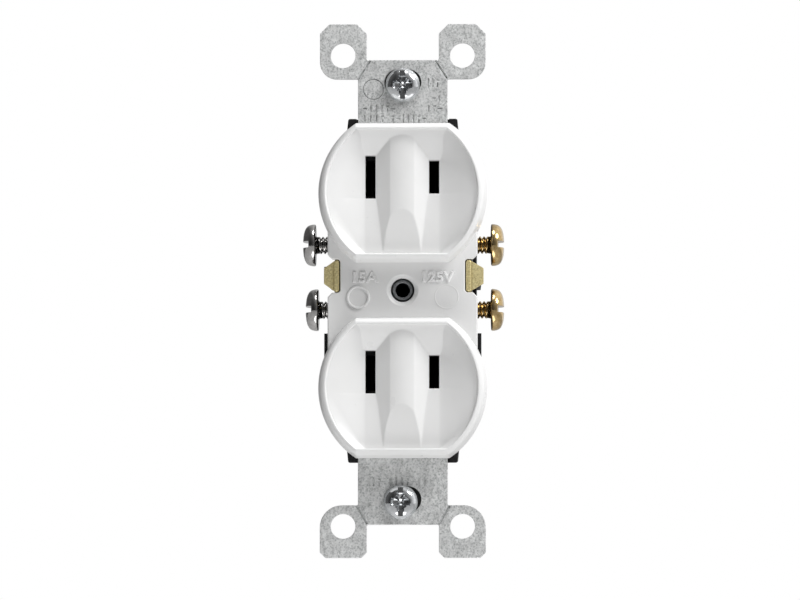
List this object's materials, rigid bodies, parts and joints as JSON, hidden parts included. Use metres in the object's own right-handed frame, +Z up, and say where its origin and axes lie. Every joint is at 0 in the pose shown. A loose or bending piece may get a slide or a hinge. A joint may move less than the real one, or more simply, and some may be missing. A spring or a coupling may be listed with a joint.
{
  "type": "duplex wall receptacle",
  "caption": "Polarised two-slot duplex wall receptacle on a galvanised strap with break-off ears, side wiring screws, push-in wire holes and captive box screws.",
  "frame": {"origin": "middle of the strap's back plane, halfway between the mounting slots, where the strap lies on the box", "axes": "+Z up, +X to the right seen from the front, the faces look along -Y, +Y runs into the wall box"},
  "size_m": [0.0403, 0.0295, 0.1068],
  "materials": {
    "white_plastic": "smooth moulded, semi-gloss",
    "black_plastic": "moulded phenolic, satin",
    "galvanised_steel": "galvanised, fine grey spangle",
    "zinc_plate": "bright zinc plating",
    "nickel_plate": "nickel plating, slightly dull",
    "screw_brass": "brass plating, slightly dull",
    "brass": "rolled brass sheet",
    "spring_bronze": "phosphor bronze",
    "dark_steel": "dark zinc, satin",
    "black_fibre": "vulcanised fibre, matt"
  },
  "bodies": {
    "receptacle": {"face_cover": "white_plastic", "mounting_strap": "galvanised_steel", "back_body": "black_plastic", "neutral_contact": "brass", "hot_contact": "brass", "centre_bushing": "dark_steel", "assembly_screw_top": "zinc_plate", "assembly_screw_bottom": "zinc_plate"},
    "neutral_screw_upper": {"neutral_screw_upper": "nickel_plate"},
    "neutral_screw_lower": {"neutral_screw_lower": "nickel_plate"},
    "hot_screw_upper": {"hot_screw_upper": "screw_brass"},
    "hot_screw_lower": {"hot_screw_lower": "screw_brass"},
    "wire_clamp_neutral_upper": {"wire_clamp_neutral_upper": "spring_bronze"},
    "wire_clamp_neutral_lower": {"wire_clamp_neutral_lower": "spring_bronze"},
    "wire_clamp_hot_upper": {"wire_clamp_hot_upper": "spring_bronze"},
    "wire_clamp_hot_lower": {"wire_clamp_hot_lower": "spring_bronze"},
    "retaining_washer_top": {"retaining_washer_top": "black_fibre"},
    "mounting_screw_top": {"mounting_screw_top": "zinc_plate"},
    "retaining_washer_bottom": {"retaining_washer_bottom": "black_fibre"},
    "mounting_screw_bottom": {"mounting_screw_bottom": "zinc_plate"}
  },
  "joints": [
    {"name": "neutral_screw_upper_travel", "type": "slide", "parent": "receptacle", "child": "neutral_screw_upper", "axis": [1, 0, 0], "range_m": [-0.0002, 0.0038]},
    {"name": "neutral_screw_lower_travel", "type": "slide", "parent": "receptacle", "child": "neutral_screw_lower", "axis": [1, 0, 0], "range_m": [-0.00075, 0.00325]},
    {"name": "hot_screw_upper_travel", "type": "slide", "parent": "receptacle", "child": "hot_screw_upper", "axis": [-1, 0, 0], "range_m": [-0.00045, 0.00355]},
    {"name": "hot_screw_lower_travel", "type": "slide", "parent": "receptacle", "child": "hot_screw_lower", "axis": [-1, 0, 0], "range_m": [-0.00045, 0.00355]},
    {"name": "wire_clamp_neutral_upper_flex", "type": "hinge", "parent": "receptacle", "child": "wire_clamp_neutral_upper", "pos_m": [-0.0097, 0.0121, 0.01655], "axis": [0, 0, 1], "range_deg": [0, 20], "stiffness_Nm_per_rad": 0.01, "springref_deg": -5.73},
    {"name": "wire_clamp_neutral_lower_flex", "type": "hinge", "parent": "receptacle", "child": "wire_clamp_neutral_lower", "pos_m": [-0.0097, 0.0121, -0.01025], "axis": [0, 0, 1], "range_deg": [0, 20], "stiffness_Nm_per_rad": 0.01, "springref_deg": -5.73},
    {"name": "wire_clamp_hot_upper_flex", "type": "hinge", "parent": "receptacle", "child": "wire_clamp_hot_upper", "pos_m": [0.0097, 0.0121, 0.01655], "axis": [0, 0, -1], "range_deg": [0, 20], "stiffness_Nm_per_rad": 0.01, "springref_deg": -5.73},
    {"name": "wire_clamp_hot_lower_flex", "type": "hinge", "parent": "receptacle", "child": "wire_clamp_hot_lower", "pos_m": [0.0097, 0.0121, -0.01025], "axis": [0, 0, -1], "range_deg": [0, 20], "stiffness_Nm_per_rad": 0.01, "springref_deg": -5.73},
    {"name": "mounting_screw_top_travel", "type": "slide", "parent": "receptacle", "child": "retaining_washer_top", "axis": [0, -1, 0], "range_m": [0, 0.0023]},
    {"name": "mounting_screw_top_turn", "type": "hinge", "parent": "retaining_washer_top", "child": "mounting_screw_top", "pos_m": [0, 0, 0.04112], "axis": [0, 1, 0], "continuous": true},
    {"name": "mounting_screw_bottom_travel", "type": "slide", "parent": "receptacle", "child": "retaining_washer_bottom", "axis": [0, -1, 0], "range_m": [0, 0.0023]},
    {"name": "mounting_screw_bottom_turn", "type": "hinge", "parent": "retaining_washer_bottom", "child": "mounting_screw_bottom", "pos_m": [-0.0004, 0, -0.04222], "axis": [0, 1, 0], "continuous": true}
  ]
}
